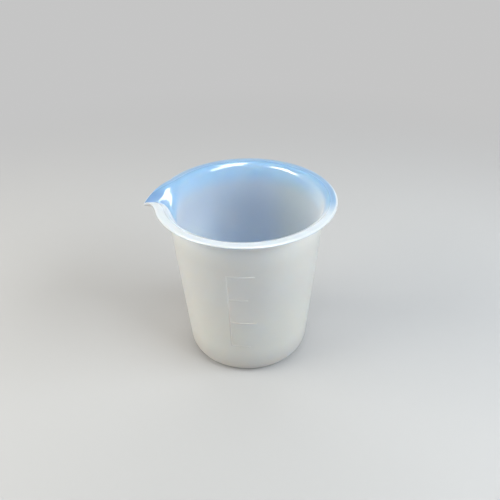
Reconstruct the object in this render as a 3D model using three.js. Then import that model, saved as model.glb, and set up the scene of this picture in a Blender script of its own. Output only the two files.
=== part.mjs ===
import * as THREE from 'three';

// Plastic beaker: a tapered cup with a flared rim, one pouring spout and a raised volume scale.
// Millimetres, +Z up. The origin is the centre of the rest face.
// The spout points along -X and the scale faces -Y.

// Cup
const HEIGHT = 84.75; // to the top of the lip
const FOOT_RADIUS = 30.7; // outside of the wall, carried straight down to the rest face
const WALL_DRAFT = THREE.MathUtils.degToRad(4.3); // lean of the wall from the vertical
const WALL = 1.2;
const FLOOR = 2;
const HEEL = 5.6; // outside corner radius between rest face and wall

// Rim: the wall flares outward into a flange with a full round lip
const RIM_OVERHANG = 5.43; // lip beyond the outside of the wall
const RIM_FLARE = 8.8; // height of wall that the flare takes up
const RIM_SLOPE = THREE.MathUtils.degToRad(-8); // the flange droops at the lip
const RIM_FULLNESS = 0.82; // 0 is a straight cone, towards 1 the flare turns in a tighter corner

// Spout: over this angle the flange reaches further out and dips into a channel
const SPOUT_HALF_ANGLE = THREE.MathUtils.degToRad(14.8);
const SPOUT_REACH = 7.6; // beyond the rim's lip
const SPOUT_DIP = 6.3; // below the rim's lip
const SPOUT_DIP_POWER = 1.7; // above 1, the lip stays high and falls near the tip
const SPOUT_FLARE = 12; // height of wall that the channel's curve takes up
const SPOUT_SLOPE = THREE.MathUtils.degToRad(-4); // the channel rounds over to a slight droop at the tip
const SPOUT_FULLNESS = 0.4;
const SPOUT_NOSE = THREE.MathUtils.degToRad(1.5); // half angle of the rounded tip
const SPOUT_ROOT = 0.5; // length of the blend into the rim, as a part of the half angle
const SPOUT_SKIRT = 1; // plain wall kept below the channel

// Scale: one mark at each step of volume, joined by a stem at their left ends
const SCALE_STEP = 50; // millilitres
const LONG_MARK_EVERY = 2; // steps
const SCALE_FREEBOARD = 16; // from the top of the rim down to the highest place for a mark
const SCALE_BEARING = THREE.MathUtils.degToRad(82); // the stem's turn from the spout
const LONG_MARK = 12.2;
const SHORT_MARK = 8.8;
const LINE_WIDTH = 0.7;
const LINE_RAISE = 0.35;
const LINE_SEAT = 0.02; // clearance between the lines and the wall

// Facets
const TURN_STEPS = 72;
const SPOUT_STEPS = 24;
const CORNER_STEPS = 4;
const FLARE_STEPS = 9;
const LIP_STEPS = 4;
const LINE_STEP = THREE.MathUtils.degToRad(3);
const VOLUME_SLICE = 0.02;

const MILLILITRE = 1000; // cubic millimetres

// Milky plastic: warm grey white on the cup, bluer and glossier on the rim
const plastic = (color, roughness) => new THREE.MeshStandardMaterial({ color, roughness, metalness: 0 });
const cupPlastic = () => plastic(0xcfd4d4, 0.4);
const rimPlastic = () => plastic(0xcfe2f0, 0.25);
const linePlastic = () => plastic(0xdcdedc, 0.4);

// Wall: outer and inner radius at a height
const wallSide = WALL / Math.cos(WALL_DRAFT); // thickness measured level
const outerRadius = (z) => FOOT_RADIUS + z * Math.tan(WALL_DRAFT);
const innerRadius = (z) => outerRadius(z) - wallSide;

// Heel: each corner arc touches a level face and the wall
const cornerCentre = (wallRadius, level, radius) =>
  new THREE.Vector2(wallRadius(level + radius) - radius / Math.cos(WALL_DRAFT), level + radius);

function cornerArc(centre, radius) {
  const points = [];
  const turn = Math.PI / 2 - WALL_DRAFT;
  for (let i = 0; i <= CORNER_STEPS; i++) {
    const angle = -Math.PI / 2 + (turn * i) / CORNER_STEPS;
    points.push(new THREE.Vector2(Math.cos(angle), Math.sin(angle)).multiplyScalar(radius).add(centre));
  }
  return points;
}

const innerHeel = HEEL - WALL;
const outerCorner = cornerCentre(outerRadius, 0, HEEL);
const innerCorner = cornerCentre(innerRadius, FLOOR, innerHeel);
const floorRadius = Math.min(outerCorner.x, innerCorner.x);
const heelTop = Math.max(outerCorner.y, innerCorner.y);

function revolved(profile) {
  const geometry = new THREE.LatheGeometry(profile, TURN_STEPS);
  return geometry.rotateX(Math.PI / 2);
}

function floorGeometry() {
  return revolved([
    new THREE.Vector2(0, 0),
    new THREE.Vector2(floorRadius, 0),
    new THREE.Vector2(floorRadius, FLOOR),
    new THREE.Vector2(0, FLOOR),
  ]);
}

function heelGeometry() {
  const start = new THREE.Vector2(floorRadius, 0);
  return revolved([
    start,
    ...cornerArc(outerCorner, HEEL),
    new THREE.Vector2(outerRadius(heelTop), heelTop),
    new THREE.Vector2(innerRadius(heelTop), heelTop),
    ...cornerArc(innerCorner, innerHeel).reverse(),
    new THREE.Vector2(floorRadius, FLOOR),
    start,
  ]);
}

function wallGeometry(top) {
  const start = new THREE.Vector2(innerRadius(heelTop), heelTop);
  return revolved([
    start,
    new THREE.Vector2(outerRadius(heelTop), heelTop),
    new THREE.Vector2(outerRadius(top), top),
    new THREE.Vector2(innerRadius(top), top),
    start,
  ]);
}

// Share of the spout in the rim's section: 0 on the plain rim, nearly 1 at the tip
function spoutShare(bearing) {
  const turn = Math.abs(bearing);
  const rounded = turn < SPOUT_NOSE ? (turn * turn + SPOUT_NOSE * SPOUT_NOSE) / (2 * SPOUT_NOSE) : turn;
  const share = 1 - rounded / SPOUT_HALF_ANGLE;
  if (share >= SPOUT_ROOT) return share;
  return share <= -SPOUT_ROOT ? 0 : (share + SPOUT_ROOT) ** 2 / (4 * SPOUT_ROOT);
}

// Middle of the rim's section at a bearing: the curve from the wall out to the lip
function flareCurve(bearing) {
  const share = spoutShare(bearing);
  const slope = THREE.MathUtils.lerp(RIM_SLOPE, SPOUT_SLOPE, share);
  const fullness = THREE.MathUtils.lerp(RIM_FULLNESS, SPOUT_FULLNESS, share);
  const middleRadius = (z) => outerRadius(z) - wallSide / 2;
  const lip = new THREE.Vector2(
    outerRadius(HEIGHT) + RIM_OVERHANG + SPOUT_REACH * share - WALL / 2,
    HEIGHT - SPOUT_DIP * share ** SPOUT_DIP_POWER - WALL / 2
  );
  // the flange's slope and the wall, carried on, meet at the corner
  const cornerHeight =
    (lip.y - (lip.x - middleRadius(0)) * Math.tan(slope)) / (1 - Math.tan(slope) * Math.tan(WALL_DRAFT));
  const corner = new THREE.Vector2(middleRadius(cornerHeight), cornerHeight);
  const startHeight = cornerHeight - THREE.MathUtils.lerp(RIM_FLARE, SPOUT_FLARE, share);
  const start = new THREE.Vector2(middleRadius(startHeight), startHeight);
  return new THREE.CubicBezierCurve(
    start,
    start.clone().lerp(corner, fullness),
    lip.clone().lerp(corner, fullness),
    lip
  );
}

// Closed section of the rim from the seam up: inner face, lip and outer face
function rimSection(bearing, seam) {
  const curve = flareCurve(bearing);
  const inner = [new THREE.Vector2(innerRadius(seam), seam)];
  const outer = [new THREE.Vector2(outerRadius(seam), seam)];
  for (let i = 0; i <= FLARE_STEPS; i++) {
    const along = curve.getTangent(i / FLARE_STEPS);
    const half = new THREE.Vector2(-along.y, along.x).multiplyScalar(WALL / 2);
    const middle = curve.getPoint(i / FLARE_STEPS);
    inner.push(middle.clone().add(half));
    outer.push(middle.clone().sub(half));
  }
  const lip = curve.getPoint(1);
  const quarter = curve.getTangent(1).angle() + Math.PI / 2;
  const round = [];
  for (let i = 1; i < LIP_STEPS; i++) {
    const angle = quarter - (Math.PI * i) / LIP_STEPS;
    round.push(new THREE.Vector2(Math.cos(angle), Math.sin(angle)).multiplyScalar(WALL / 2).add(lip));
  }
  return [...inner, ...round, ...outer.reverse()];
}

// Solid through sections set at bearings from the spout, with a flat cap at each end
function sweptGeometry(sectionAt, from, to, steps) {
  const sections = [];
  const positions = [];
  for (let i = 0; i <= steps; i++) {
    const bearing = from + ((to - from) * i) / steps;
    const section = sectionAt(bearing);
    sections.push(section);
    for (const { x, y } of section) positions.push(-x * Math.cos(bearing), -x * Math.sin(bearing), y);
  }
  const count = sections[0].length;
  const triangles = [];
  for (let i = 0; i < steps; i++) {
    for (let j = 0; j < count; j++) {
      const a = i * count + j;
      const b = i * count + ((j + 1) % count);
      triangles.push(a, b, b + count, a, b + count, a + count);
    }
  }
  for (const [a, b, c] of THREE.ShapeUtils.triangulateShape(sections[0], [])) triangles.push(a, b, c);
  const last = steps * count;
  for (const [a, b, c] of THREE.ShapeUtils.triangulateShape(sections[steps], [])) {
    triangles.push(last + a, last + c, last + b);
  }
  const geometry = new THREE.BufferGeometry();
  geometry.setAttribute('position', new THREE.Float32BufferAttribute(positions, 3));
  geometry.setIndex(triangles);
  geometry.computeVertexNormals();
  return geometry;
}

// Height to which a volume in millilitres fills the cup
function fillHeight(volume) {
  const radiusAt = (z) => {
    const below = innerCorner.y - z;
    if (below <= innerHeel * Math.sin(WALL_DRAFT)) return innerRadius(z);
    return innerCorner.x + Math.sqrt(innerHeel * innerHeel - below * below);
  };
  let filled = 0;
  let z = FLOOR;
  while (filled < volume * MILLILITRE) {
    filled += Math.PI * radiusAt(z + VOLUME_SLICE / 2) ** 2 * VOLUME_SLICE;
    z += VOLUME_SLICE;
  }
  return z;
}

// Raised line on the wall between two heights
function lineSection(low, high) {
  const seat = (z) => outerRadius(z) + LINE_SEAT;
  return [
    new THREE.Vector2(seat(low), low),
    new THREE.Vector2(seat(high), high),
    new THREE.Vector2(seat(high) + LINE_RAISE, high),
    new THREE.Vector2(seat(low) + LINE_RAISE, low),
  ];
}

const beaker = new THREE.Group();
beaker.name = 'beaker';

function addPiece(name, geometry, material) {
  const mesh = new THREE.Mesh(geometry, material);
  mesh.name = name;
  beaker.add(mesh);
}

function addCup() {
  const spoutEnd = SPOUT_HALF_ANGLE * (1 + SPOUT_ROOT);
  const flareStart = (bearing) => flareCurve(bearing).v0.y;
  const seam = Math.min(flareStart(0), flareStart(Math.PI)) - SPOUT_SKIRT;
  const plainSection = () => rimSection(Math.PI, seam);
  const spoutSection = (bearing) => rimSection(bearing, seam);
  const rimSteps = Math.round(TURN_STEPS * (1 - spoutEnd / Math.PI));
  const rim = sweptGeometry(plainSection, spoutEnd, 2 * Math.PI - spoutEnd, rimSteps);
  const spout = sweptGeometry(spoutSection, -spoutEnd, spoutEnd, SPOUT_STEPS);
  addPiece('floor', floorGeometry(), cupPlastic());
  addPiece('heel', heelGeometry(), cupPlastic());
  addPiece('side_wall', wallGeometry(seam), cupPlastic());
  addPiece('rim', rim, rimPlastic());
  addPiece('pour_spout', spout, rimPlastic());
}

function addScale() {
  const stemHalf = LINE_WIDTH / 2 / outerRadius(HEIGHT / 2);
  const start = SCALE_BEARING + stemHalf;
  const heights = [];
  for (let volume = SCALE_STEP; fillHeight(volume) < HEIGHT - SCALE_FREEBOARD; volume += SCALE_STEP) {
    const height = fillHeight(volume);
    const length = (volume / SCALE_STEP) % LONG_MARK_EVERY === 0 ? LONG_MARK : SHORT_MARK;
    const turn = length / outerRadius(height);
    const section = lineSection(height - LINE_WIDTH / 2, height + LINE_WIDTH / 2);
    const mark = sweptGeometry(() => section, start, start + turn, Math.ceil(turn / LINE_STEP));
    addPiece(`scale_mark_${volume}`, mark, linePlastic());
    heights.push(height);
  }
  const section = lineSection(Math.min(...heights) - LINE_WIDTH / 2, Math.max(...heights) + LINE_WIDTH / 2);
  const stem = sweptGeometry(() => section, SCALE_BEARING - stemHalf, start, 1);
  addPiece('scale_stem', stem, linePlastic());
}

addCup();
addScale();

export default beaker;
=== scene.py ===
import math
from functools import reduce

import bpy
from mathutils import Matrix, Vector


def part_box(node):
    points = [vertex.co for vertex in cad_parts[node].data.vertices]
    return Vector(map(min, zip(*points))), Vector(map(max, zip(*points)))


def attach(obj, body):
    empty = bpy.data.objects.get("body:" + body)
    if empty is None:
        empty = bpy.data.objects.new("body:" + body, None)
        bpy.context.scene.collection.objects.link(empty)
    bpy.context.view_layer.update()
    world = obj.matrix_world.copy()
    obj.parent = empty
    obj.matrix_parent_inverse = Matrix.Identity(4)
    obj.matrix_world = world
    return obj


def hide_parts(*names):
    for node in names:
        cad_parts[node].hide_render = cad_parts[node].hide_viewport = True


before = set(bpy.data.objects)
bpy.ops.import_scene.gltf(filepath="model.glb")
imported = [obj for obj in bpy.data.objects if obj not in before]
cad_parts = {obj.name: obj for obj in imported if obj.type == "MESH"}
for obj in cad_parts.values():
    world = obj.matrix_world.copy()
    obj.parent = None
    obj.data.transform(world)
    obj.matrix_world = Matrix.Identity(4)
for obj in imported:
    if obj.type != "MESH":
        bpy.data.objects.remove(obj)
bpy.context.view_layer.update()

# Plastic beaker with a flared rim, a pouring spout and a raised volume scale.
# Metres, +Z up. The origin is the centre of the rest face.
# The spout points along -X and the scale faces -Y.

MM = 0.001

# Cup
HEIGHT = 84.75 * MM
FOOT_RADIUS = 30.7 * MM
WALL_DRAFT = math.radians(4.3)
WALL = 1.2 * MM
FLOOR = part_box("floor")[1][2]
HEEL = 5.6 * MM

# Rim
RIM_OVERHANG = 5.43 * MM
RIM_FLARE = 8.8 * MM
RIM_SLOPE = math.radians(-8)
RIM_FULLNESS = 0.82

# Spout
SPOUT_HALF_ANGLE = math.radians(14.8)
SPOUT_REACH = 7.6 * MM
SPOUT_DIP = 6.3 * MM
SPOUT_DIP_POWER = 1.7
SPOUT_FLARE = 12 * MM
SPOUT_SLOPE = math.radians(-4)
SPOUT_FULLNESS = 0.4
SPOUT_NOSE = math.radians(1.5)
SPOUT_ROOT = 0.5
SPOUT_FLARED = 0.65  # how far along the flare the channel counts at the tip, 1 being a plain ledge

# Raised lines of the scale
LINE_WIDTH = 0.75 * MM
LINE_RAISE = 0.22 * MM
STEM_RAISE = 0.12 * MM
LINE_SINK = 0.12 * MM

# Mesh density
SPOUT_STEP = math.radians(0.5)
RIM_STEP = math.radians(1)
FACE_STEPS = 10
CORNER_STEPS = 12
WALL_STEPS = 36
FLARE_STEPS = 30
LIP_STEPS = 12
LINE_STEP = 0.12 * MM
LEAST_LINE_STEPS = 12


def mix(a, b, share):
    return a + (b - a) * share


# Shape of the cup

wall_side = WALL / math.cos(WALL_DRAFT)


def outer_radius(z):
    return FOOT_RADIUS + z * math.tan(WALL_DRAFT)


def inner_radius(z):
    return outer_radius(z) - wall_side


def middle_radius(z):
    return outer_radius(z) - wall_side / 2


def corner_arc(wall_radius, level, radius):
    """Quarter round from a level face up to the wall."""
    centre = Vector((wall_radius(level + radius) - radius / math.cos(WALL_DRAFT), level + radius))
    turn = math.pi / 2 - WALL_DRAFT
    angles = [-math.pi / 2 + turn * i / CORNER_STEPS for i in range(CORNER_STEPS + 1)]
    return [centre + radius * Vector((math.cos(a), math.sin(a))) for a in angles]


outer_heel = corner_arc(outer_radius, 0, HEEL)
inner_heel = corner_arc(inner_radius, FLOOR, HEEL - WALL)


def spout_share(bearing):
    """0 on the plain rim, nearly 1 at the spout's tip."""
    turn = abs(bearing)
    if turn < SPOUT_NOSE:
        turn = (turn**2 + SPOUT_NOSE**2) / (2 * SPOUT_NOSE)
    share = 1 - turn / SPOUT_HALF_ANGLE
    if share >= SPOUT_ROOT:
        return share
    return 0 if share <= -SPOUT_ROOT else (share + SPOUT_ROOT) ** 2 / (4 * SPOUT_ROOT)


def flare_curve(bearing):
    """Middle line of the rim from the wall out to the lip, as points and directions."""
    share = spout_share(bearing)
    slope = math.tan(mix(RIM_SLOPE, SPOUT_SLOPE, share))
    fullness = mix(RIM_FULLNESS, SPOUT_FULLNESS, share)
    lip = Vector((
        outer_radius(HEIGHT) + RIM_OVERHANG + SPOUT_REACH * share - WALL / 2,
        HEIGHT - SPOUT_DIP * share**SPOUT_DIP_POWER - WALL / 2,
    ))
    corner_z = (lip.y - (lip.x - middle_radius(0)) * slope) / (1 - slope * math.tan(WALL_DRAFT))
    corner = Vector((middle_radius(corner_z), corner_z))
    start_z = corner_z - mix(RIM_FLARE, SPOUT_FLARE, share)
    start = Vector((middle_radius(start_z), start_z))
    a, b, c, d = start, start.lerp(corner, fullness), lip.lerp(corner, fullness), lip
    points = []
    for i in range(FLARE_STEPS + 1):
        t = i / FLARE_STEPS
        s = 1 - t
        point = s**3 * a + 3 * s * s * t * b + 3 * s * t * t * c + t**3 * d
        along = s * s * (b - a) + 2 * s * t * (c - b) + t * t * (d - c)
        points.append((point, along.normalized()))
    return points


def between(a, b, steps):
    """Points after a and before b."""
    return [a.lerp(b, i / steps) for i in range(1, steps)]


def section(bearing):
    """Outline from the middle of the rest face, round the outside, over the lip and down to the floor.

    Each entry is a point and its place: how far inside it is, from 0 to 1, and how far along the flare.
    On the inside the flare counts from 0 at its foot to 1 at the lip, and goes below 0 on the wall.
    """
    curve = flare_curve(bearing)
    sides = [Vector((-along.y, along.x)) * WALL / 2 for point, along in curve]
    under = [point - side for (point, along), side in zip(curve, sides)]
    over = [point + side for (point, along), side in zip(curve, sides)]
    lip, along = curve[-1]
    turn = math.atan2(along.y, along.x) - math.pi / 2
    rounded = [turn + math.pi * i / LIP_STEPS for i in range(1, LIP_STEPS)]
    rounded = [lip + WALL / 2 * Vector((math.cos(a), math.sin(a))) for a in rounded]
    reach = [0]
    for a, b in zip(over, over[1:]):
        reach.append(reach[-1] + (b - a).length)
    wall = between(over[0], inner_heel[-1], WALL_STEPS)
    outside = between(Vector((0, 0)), outer_heel[0], FACE_STEPS) + outer_heel
    outside += between(outer_heel[-1], under[0], WALL_STEPS) + under
    below = inner_heel[::-1] + between(inner_heel[0], Vector((0, FLOOR)), FACE_STEPS)
    outline = [(point, 0, -1) for point in outside]
    outline += [(point, (i + 1) / LIP_STEPS, 1) for i, point in enumerate(rounded)]
    share = mix(1, SPOUT_FLARED, spout_share(bearing)) / reach[-1]
    outline += [(point, 1, r * share) for point, r in zip(over[::-1], reach[::-1])]
    outline += [(point, 1, max(-1, (point.y - over[0].y) / reach[-1])) for point in wall]
    outline += [(point, 1, -1) for point in below]
    return outline


def bearings():
    """Turns from the spout round the cup, closer together on the spout."""
    spout_end = SPOUT_HALF_ANGLE * (1 + SPOUT_ROOT)
    near = math.ceil(2 * spout_end / SPOUT_STEP)
    far = math.ceil((2 * math.pi - 2 * spout_end) / RIM_STEP)
    turns = [mix(-spout_end, spout_end, i / near) for i in range(near)]
    return turns + [mix(spout_end, 2 * math.pi - spout_end, i / far) for i in range(far)]


def at(bearing, radius, z):
    """Point at a turn from the spout, positive turns going towards -Y."""
    return (-radius * math.cos(bearing), -radius * math.sin(bearing), z)


def new_object(name, points, faces, material):
    mesh = bpy.data.meshes.new(name)
    mesh.from_pydata(points, [], faces)
    mesh.validate()
    mesh.shade_smooth()
    mesh.materials.append(material)
    obj = bpy.data.objects.new(name, mesh)
    bpy.context.scene.collection.objects.link(obj)
    return obj


def place_marks(obj, **marks):
    """Tells the material where each point lies on the moulding."""
    for name, values in marks.items():
        obj.data.attributes.new(name, "FLOAT", "POINT").data.foreach_set("value", values)


def moulding(material):
    """The whole cup: one outline at each bearing, closed by a fan under the floor and one on it."""
    points, faces = [(0, 0, 0), (0, 0, FLOOR)], []
    inside, flare, spout = [0, 1], [-1, -1], [0, 0]
    turns = bearings()
    for bearing in turns:
        outline = section(bearing)
        for point, within, flared in outline:
            points.append(at(bearing, point.x, point.y))
            inside.append(within)
            flare.append(flared)
            spout.append(spout_share(bearing))
    count = len(outline)
    for i in range(len(turns)):
        near = 2 + i * count
        far = 2 + (i + 1) % len(turns) * count
        faces.append((0, far, near))
        faces.append((1, near + count - 1, far + count - 1))
        for j in range(count - 1):
            faces.append((near + j, far + j, far + j + 1, near + j + 1))
    obj = new_object("moulding", points, faces, material)
    place_marks(obj, inside=inside, flare=flare, spout=spout)
    return obj


# Raised lines

def swell(t):
    """Rounded height across a line, t from -1 to 1."""
    return max(0, 1 - t * t) ** 2


def edge_swell(distance, half):
    """Swell at a distance from the middle, falling over half a line's width at the ends."""
    half_line = LINE_WIDTH / 2
    return swell(max(0, (abs(distance) - (half - half_line)) / half_line))


def spread(half):
    """Places from -half to half, close enough together for a rounded line."""
    steps = max(LEAST_LINE_STEPS, math.ceil(2 * half / LINE_STEP))
    return [mix(-half, half, i / steps) for i in range(steps + 1)]


def raised_line(name, middle, half_turn, half_height, top, material):
    """A line with rounded edges on the wall, middle = (bearing, height) and top its highest rise."""
    bearing, height = middle
    radius = outer_radius(height)
    half_width = half_turn * radius
    across = spread(half_width)
    upward = spread(half_height)

    def sheet(rise):
        """Points over the line's area, each at its rise from the wall."""
        places = [(bearing + u / radius, height + v, rise(u, v)) for u in across for v in upward]
        return [at(turn, outer_radius(z) + raised, z) for turn, z, raised in places]

    points = sheet(lambda u, v: top * edge_swell(u, half_width) * edge_swell(v, half_height))
    under = len(points)
    points += sheet(lambda u, v: -LINE_SINK)
    row = len(upward)
    last_u, last_v = len(across) - 1, len(upward) - 1
    faces = []
    for i in range(last_u):
        for j in range(last_v):
            a, b = i * row + j, (i + 1) * row + j
            faces.append((a, b, b + 1, a + 1))
            faces.append((under + a, under + a + 1, under + b + 1, under + b))
    rim = [(i * row, (i + 1) * row) for i in range(last_u)]
    rim += [(last_u * row + j, last_u * row + j + 1) for j in range(last_v)]
    rim += [((i + 1) * row + last_v, i * row + last_v) for i in range(last_u)]
    rim += [(j + 1, j) for j in range(last_v)]
    faces += [(a, under + a, under + b, b) for a, b in rim]
    return new_object(name, points, faces, material)


def turn_of(point):
    """Bearing of a point from the spout."""
    return math.atan2(-point.y, -point.x)


def line_for(node, material):
    """The raised line that stands for a CAD node."""
    low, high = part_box(node)
    turns = [turn_of(v.co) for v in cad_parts[node].data.vertices]
    middle = ((min(turns) + max(turns)) / 2, (low[2] + high[2]) / 2)
    half_turn = (max(turns) - min(turns)) / 2
    half_height = (high[2] - low[2]) / 2
    top = STEM_RAISE if half_height > half_turn * outer_radius(middle[1]) else LINE_RAISE
    return raised_line("raised_" + node, middle, half_turn, half_height, top, material)


# Node trees

class Nodes:
    """A node tree with short ways to add to it."""

    def __init__(self, tree):
        self.tree = tree
        tree.nodes.clear()

    def put(self, value, socket):
        """Links another node's output to a socket, or sets a plain value."""
        if isinstance(value, bpy.types.NodeSocket):
            self.tree.links.new(value, socket)
        else:
            socket.default_value = value

    def new(self, kind, inputs=None, **settings):
        """A node with its settings, and with its inputs by name or number."""
        node = self.tree.nodes.new(kind)
        for name, value in settings.items():
            setattr(node, name, value)
        for name, value in (inputs or {}).items():
            self.put(value, node.inputs[name])
        return node

    def colour(self, a, b, share, mode="MIX"):
        """Goes from colour a to colour b, or to a times b, as the share goes from 0 to 1."""
        node = self.new("ShaderNodeMix", data_type="RGBA", blend_type=mode)
        sockets = {socket.identifier: socket for socket in node.inputs}
        for name, value in (("A_Color", a), ("B_Color", b), ("Factor_Float", share)):
            self.put(value, sockets[name])
        return next(socket for socket in node.outputs if socket.identifier == "Result_Color")

    def ramp(self, value, start, end, first=0.0, last=1.0):
        """Goes smoothly from first to last as the value goes from start to end, up or down."""
        inputs = {"Value": value, "From Min": start, "From Max": end, "To Min": first, "To Max": last}
        return self.new("ShaderNodeMapRange", inputs, interpolation_type="SMOOTHSTEP").outputs[0]

    def maths(self, operation, *values):
        return self.new("ShaderNodeMath", dict(enumerate(values)), operation=operation).outputs[0]

    def times(self, a, b):
        return self.maths("MULTIPLY", a, b)

    def paint(self, hue, coats, places):
        """Lays coats of colour over a hue, each where all of its places are between start and end."""
        for colour, mode, ranges in coats:
            shares = [self.ramp(places[name], start, end) for name, start, end in ranges]
            hue = self.colour(hue, colour, reduce(self.times, shares), mode)
        return hue

    def mark(self, name):
        """One of the moulding's place marks."""
        return self.new("ShaderNodeAttribute", attribute_name=name).outputs["Fac"]

    def noise(self, place, scale, detail):
        inputs = {"Vector": place, "Scale": scale, "Detail": detail}
        return self.new("ShaderNodeTexNoise", inputs).outputs["Fac"]


def new_material(name):
    material = bpy.data.materials.new(name)
    material.use_nodes = True
    n = Nodes(material.node_tree)
    place = n.new("ShaderNodeTexCoord").outputs["Object"]
    return material, n, place


# Colours of the plastic. All but CLOUD are painted light and shade, laid on by place
# Painted shade: the foot darker
FOOT = (0.63, 0.59, 0.55, 1)
# Painted light: the lower outside lighter and warmer, as if lit through the wall
LOWER = (0.92, 0.83, 0.72, 1)
# Painted shade: the middle of the outside darker and greyer
OUTER = (0.76, 0.74, 0.70, 1)
# Painted light: the outside just under the rim lighter, as if lit through the flange
UPPER = (0.92, 0.91, 0.86, 1)
# Painted cool light: the inside low down a light blue
DEEP = (0.47, 0.65, 0.91, 1)
# Painted shade and cool light: the inner wall a darker blue-grey
INNER = (0.40, 0.52, 0.69, 1)
# Painted light: the inner wall on the spout's side lighter and bluer, as if lit across the cup
PAINTED_LIT_SIDE = (0.57, 0.74, 0.98, 1)
# Painted warm light: the inside away from the spout warmed
PAINTED_WARM_LIGHT = (1.0, 0.94, 0.79, 1)
# Painted cool light: the rim's flare blue
FLARE = (0.27, 0.52, 0.83, 1)
# Painted shade and cool light: the flat of the rim a darker blue
LEDGE = (0.20, 0.42, 0.69, 1)
# Painted light: the flat of the rim whitened at the front
FRONT_LEDGE = (0.74, 0.83, 0.91, 1)
# Painted highlight: a light glow along the inner edge on the side away from the spout
PAINTED_GLOW = (0.44, 0.66, 0.84, 1)
# Painted shade: the spout's channel a deeper blue, except on its front flank
CHANNEL = (0.17, 0.37, 0.69, 1)
# Painted highlight: the lip whiter
LIP = (0.82, 0.90, 0.98, 1)
# Painted shade: the lip bluer and darker towards the back
BACK_LIP = (0.30, 0.50, 0.74, 1)
# Painted shade and light: the raised lines darker low on the wall and lighter high up
LOW_LINE = (0.75, 0.65, 0.57, 1)
HIGH_LINE = (0.86, 0.84, 0.79, 1)
CLOUD = (0.90, 0.90, 0.90, 1)

# Places on the moulding, as the start and end of a change
INSIDE = ("inside", 0, 0.6)
FRONT_LEAN = 0.06  # how far the front reaches round towards the spout, as a slope
LIP_BAND = (0.94, 1)
LIP_BACK = (0, 28 * MM)
GLOSS_BAND = (0.9, 1)
SATIN_BAND = (0.68, 0.85)
SHEEN_BAND = (0.45, 0.7)

# Coats of painted light and shade over FOOT, in order: a colour, how it is laid on, and the places where
# it takes over
CUP_COATS = (
    (LOWER, "MIX", [("z", 0, 18 * MM)]),
    (OUTER, "MIX", [("z", 25 * MM, 58 * MM)]),
    (UPPER, "MIX", [("z", 66 * MM, 82 * MM)]),
    (DEEP, "MIX", [INSIDE]),
    (INNER, "MIX", [INSIDE, ("z", 20 * MM, 62 * MM)]),
    (PAINTED_LIT_SIDE, "MIX", [INSIDE, ("x", -16 * MM, -32 * MM), ("z", 70 * MM, 50 * MM)]),
    (FLARE, "MIX", [("flare", -0.35, 0.3)]),
    (LEDGE, "MIX", [("flare", 0.62, 0.85)]),
    (FRONT_LEDGE, "MIX", [("front", 2 * MM, -14 * MM), ("flare", 0.25, 0.55)]),
    (PAINTED_WARM_LIGHT, "MULTIPLY", [INSIDE, ("x", 5 * MM, 22 * MM), ("flare", 0.45, 0)]),
    (PAINTED_GLOW, "MIX", [("x", 27 * MM, 36 * MM), ("flare", -0.2, 0.1), ("flare", 0.6, 0.35)]),
    (CHANNEL, "MIX", [("spout", 0.3, 0.7), ("flare", 0.3, 0.6), ("y", -8 * MM, -2 * MM)]),
)
# Painted light: the raised lines lighter high on the wall
LINE_COATS = ((HIGH_LINE, "MIX", [("z", 38 * MM, 50 * MM)]),)

# Finish of the plastic. The pairs are for outside and inside, or for gloss and satin.
ROUGHNESS = (0.42, 0.14)
SATIN_ROUGHNESS = 0.2
SHEEN = (0.55, 1)
LEDGE_SHEEN = 0.15
SHEEN_ROUGHNESS = (0.45, 0.65)
COAT_ROUGHNESS = (0.03, 0.22)
SCATTER_DEPTH = 4 * MM

# Clouds and grain in the plastic, with scales in cells to the metre
CLOUD_SCALE = 38
CLOUD_DETAIL = 3
CLOUD_SHARE = 0.1
CLOUD_ROUGHNESS = (-0.03, 0.05)
GRAIN_SCALE = 1400
GRAIN_DETAIL = 2
GRAIN_DEPTH = 0.1 * MM


def axes_of(n, place):
    """The three coordinates of a place, by their small letters."""
    outputs = n.new("ShaderNodeSeparateXYZ", {0: place}).outputs
    return {name: outputs[name.upper()] for name in "xyz"}


def milky(n, place, hue, rough, finish):
    """Translucent plastic with faint clouds and a fine grain."""
    cloud = n.noise(place, CLOUD_SCALE, CLOUD_DETAIL)
    grain = n.noise(place, GRAIN_SCALE, GRAIN_DETAIL)
    bump = n.new("ShaderNodeBump", {"Height": grain, "Strength": 0.04, "Distance": GRAIN_DEPTH})
    shader = n.new("ShaderNodeBsdfPrincipled", {
        "Base Color": n.colour(hue, CLOUD, n.ramp(cloud, 0.45, 0.75, 0, CLOUD_SHARE)),
        "Roughness": n.maths("ADD", rough, n.ramp(cloud, 0.3, 0.7, *CLOUD_ROUGHNESS)),
        "IOR": 1.49,
        "Subsurface Radius": (1.0, 0.85, 0.7),
        "Subsurface Scale": SCATTER_DEPTH,
        "Transmission Weight": 0.3,
        "Normal": bump.outputs[0],
        **finish,
    })
    n.new("ShaderNodeOutputMaterial", {"Surface": shader.outputs[0]})


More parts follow.
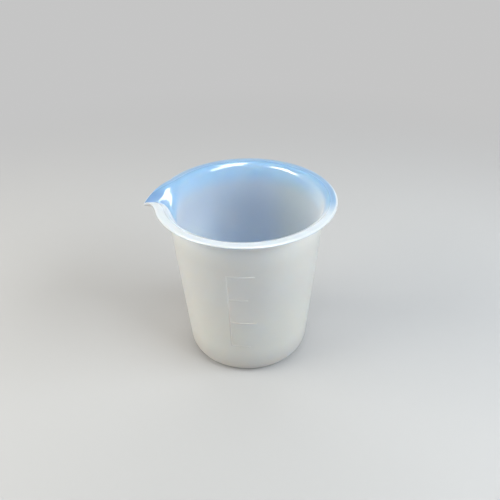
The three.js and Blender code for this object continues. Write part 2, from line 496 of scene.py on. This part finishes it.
def moulding_plastic():
    """Plastic whose gloss follows the place on the moulding, and whose colour, but for its clouds, is
    painted light and shade laid on by place.
    """
    material, n, place = new_material("milky_plastic")
    places = axes_of(n, place)
    places["front"] = n.maths("MULTIPLY_ADD", places["x"], FRONT_LEAN, places["y"])
    for name in ("inside", "flare", "spout"):
        places[name] = n.mark(name)
    flare = places["flare"]
    hue = n.paint(FOOT, CUP_COATS, places)
    # Painted highlight on the lip, going over into painted shade towards the back
    lip = n.colour(LIP, BACK_LIP, n.ramp(places["y"], *LIP_BACK))
    hue = n.colour(hue, lip, n.ramp(flare, *LIP_BAND))

    within = n.ramp(places["inside"], *INSIDE[1:])
    gloss = n.maths("MAXIMUM", within, n.ramp(flare, *GLOSS_BAND))
    satin = n.ramp(flare, *SATIN_BAND)
    rough = n.maths("ADD", n.ramp(gloss, 0, 1, *ROUGHNESS), n.ramp(satin, 0, 1, 0, SATIN_ROUGHNESS))
    sheen = n.ramp(places["inside"], *INSIDE[1:], *SHEEN)
    milky(n, place, hue, rough, {
        "Subsurface Weight": 1.0,
        "Sheen Weight": n.times(sheen, n.ramp(flare, *SHEEN_BAND, 1, LEDGE_SHEEN)),
        "Sheen Roughness": n.ramp(places["inside"], *INSIDE[1:], *SHEEN_ROUGHNESS),
        "Coat Weight": gloss,
        "Coat Roughness": n.ramp(satin, 0, 1, *COAT_ROUGHNESS),
        "Coat IOR": 1.6,
    })
    return material


def line_plastic():
    """Plastic of the raised lines, close to the wall that they stand on, with painted shade low on the
    wall and painted light high up.
    """
    material, n, place = new_material("milky_plastic_lines")
    milky(n, place, n.paint(LOW_LINE, LINE_COATS, axes_of(n, place)), ROUGHNESS[0], {
        "Subsurface Weight": 0.95,
        "Sheen Weight": SHEEN[0],
        "Sheen Roughness": SHEEN_ROUGHNESS[0],
    })
    return material


# Surroundings

BACKGROUND = (0.56, 0.56, 0.56, 1)
DIM_SKY = (0.03, 0.03, 0.03, 1)
LIT_FLOOR = (0.12, 0.12, 0.12, 1)
SEEN_FLOOR = (0.46, 0.46, 0.46, 1)
FLOOR_FADE = (0.14, 0.45)  # distances from the object
FLOOR_HALF = 6


def seen_ray(n):
    """1 for the rays that see the background and 0 for the rays that light the object."""
    path = n.new("ShaderNodeLightPath").outputs
    through = n.maths("MAXIMUM", path["Is Glossy Ray"], path["Is Transmission Ray"])
    return n.maths("MAXIMUM", path["Is Camera Ray"], through)


def pale_floor():
    """A level floor that goes over into the background away from the object."""
    material, n, place = new_material("pale_floor")
    away = n.new("ShaderNodeVectorMath", {0: place}, operation="LENGTH").outputs["Value"]
    seen = seen_ray(n)
    tone = n.colour(LIT_FLOOR, SEEN_FLOOR, seen)
    lit = n.new("ShaderNodeBsdfPrincipled", {"Base Color": tone, "Roughness": 0.8})
    far = n.new("ShaderNodeEmission", {"Color": BACKGROUND, "Strength": 1.0})
    share = n.times(n.ramp(away, *FLOOR_FADE), seen)
    shader = n.new("ShaderNodeMixShader", {0: share, 1: lit.outputs[0], 2: far.outputs[0]})
    n.new("ShaderNodeOutputMaterial", {"Surface": shader.outputs[0]})
    signs = ((-1, -1), (1, -1), (1, 1), (-1, 1))
    corners = [(x * FLOOR_HALF, y * FLOOR_HALF, 0) for x, y in signs]
    return new_object("pale_floor", corners, [(0, 1, 2, 3)], material)


def pale_world():
    """A background that looks pale and gives the object little light."""
    world = bpy.data.worlds.new("studio")
    world.use_nodes = True
    n = Nodes(world.node_tree)
    sky = n.colour(DIM_SKY, BACKGROUND, seen_ray(n))
    background = n.new("ShaderNodeBackground", {"Color": sky, "Strength": 1.0})
    n.new("ShaderNodeOutputWorld", {"Surface": background.outputs[0]})
    return world


# Pieces

cup = moulding(moulding_plastic())
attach(cup, "root")
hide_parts("floor", "heel", "side_wall", "rim", "pour_spout")

for_lines = line_plastic()
for node in sorted(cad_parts):
    if node.startswith("scale_"):
        line = line_for(node, for_lines)
        line.visible_shadow = False
        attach(line, "root")
        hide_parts(node)

floor = pale_floor()


# Light

LIGHT = 1.07  # scales every light
SOFTBOX_DISTANCE = 0.6
PANEL_HEIGHT = 0.45  # above the rim


def area_light(name, place, toward, size, radiance, colour, spin=0):
    """A rectangle of light at a place from the middle of the rim, spin in degrees about Z."""
    light = bpy.data.lights.new(name, "AREA")
    light.shape = "RECTANGLE"
    light.size, light.size_y = size
    light.energy = LIGHT * radiance * math.pi * light.size * light.size_y
    light.color = colour
    obj = bpy.data.objects.new(name, light)
    bpy.context.scene.collection.objects.link(obj)
    aim = toward.to_track_quat("-Z", "Y").to_matrix().to_4x4()
    spot = Matrix.Translation(Vector((0, 0, HEIGHT)) + place)
    obj.matrix_world = spot @ Matrix.Rotation(math.radians(spin), 4, "Z") @ aim
    return obj


def softbox(name, turn, rise, wide, tall, radiance, colour):
    """Soft light that faces the rim and doesn't mirror in it.

    turn is from -Y towards +X, and all angles are in degrees.
    """
    turn, rise, wide, tall = (math.radians(a) for a in (turn, rise, wide, tall))
    to_light = Vector((math.sin(turn) * math.cos(rise), -math.cos(turn) * math.cos(rise), math.sin(rise)))
    size = [2 * SOFTBOX_DISTANCE * math.tan(a / 2) for a in (wide, tall)]
    light = area_light(name, SOFTBOX_DISTANCE * to_light, -to_light, size, radiance, colour)
    light.visible_glossy = False


def panel(name, middle, size, spin, radiance, colour):
    """A panel that faces down and only mirrors in the plastic, as a highlight.

    It is placed and sized in panel heights from above the cup's middle.
    """
    place = Vector((middle[0], middle[1], 1)) * PANEL_HEIGHT
    size = [side * PANEL_HEIGHT for side in size]
    light = area_light(name, place, Vector((0, 0, -1)), size, radiance, colour, spin)
    light.visible_diffuse = False
    light.visible_transmission = False


COOL = (0.97, 0.985, 1)
panel("right_panel", (1.25, -1.0), (1.7, 0.55), -16, 11, (0.94, 0.97, 1))
panel("left_panel", (-2.9, -1.15), (4.3, 0.8), 8, 14, (1, 0.96, 0.88))
panel("top_panel", (0.3, -0.49), (0.42, 0.95), 14, 12, COOL)
softbox("right_side", 75, 27, 44, 40, 6.7, (0.90, 0.96, 1))
softbox("left_side", -75, 20, 44, 40, 5.75, (1, 0.96, 0.865))
softbox("front", 7, 50, 50, 40, 0.9, COOL)
softbox("back", 187, 35, 80, 40, 1.3, COOL)
softbox("overhead", 0, 88, 50, 50, 0.9, COOL)


# Camera

CAMERA_DISTANCE = 263.3 * MM
CAMERA_TILT = math.radians(34.529)
CAMERA_AIM = 54.43 * MM
CAMERA_SIDE = 1.47 * MM
CAMERA_ROLL = math.radians(-1.041)
CAMERA_TURN = math.radians(6.9)
CAMERA_CLIP = 0.01
SENSOR_WIDTH = 36
LENS = 38.016


def photo_camera():
    """Stands off the scale's side, turned a little towards +X, and rolled slightly."""
    forward = Vector((0, math.cos(CAMERA_TILT), -math.sin(CAMERA_TILT)))
    right = Vector((1, 0, 0))
    up = right.cross(forward)
    eye = Vector((CAMERA_SIDE, 0, CAMERA_AIM)) - CAMERA_DISTANCE * forward
    roll_right = math.cos(CAMERA_ROLL) * right + math.sin(CAMERA_ROLL) * up
    roll_up = -math.sin(CAMERA_ROLL) * right + math.cos(CAMERA_ROLL) * up
    pose = Matrix((roll_right, roll_up, -forward)).transposed().to_4x4()
    data = bpy.data.cameras.new("camera")
    data.sensor_width = SENSOR_WIDTH
    data.lens = LENS
    data.clip_start = CAMERA_CLIP
    camera = bpy.data.objects.new("camera", data)
    bpy.context.scene.collection.objects.link(camera)
    camera.matrix_world = Matrix.Rotation(CAMERA_TURN, 4, "Z") @ Matrix.Translation(eye) @ pose
    return camera


scene = bpy.context.scene
scene.world = pale_world()
scene.camera = photo_camera()
scene.view_settings.view_transform = "Standard"
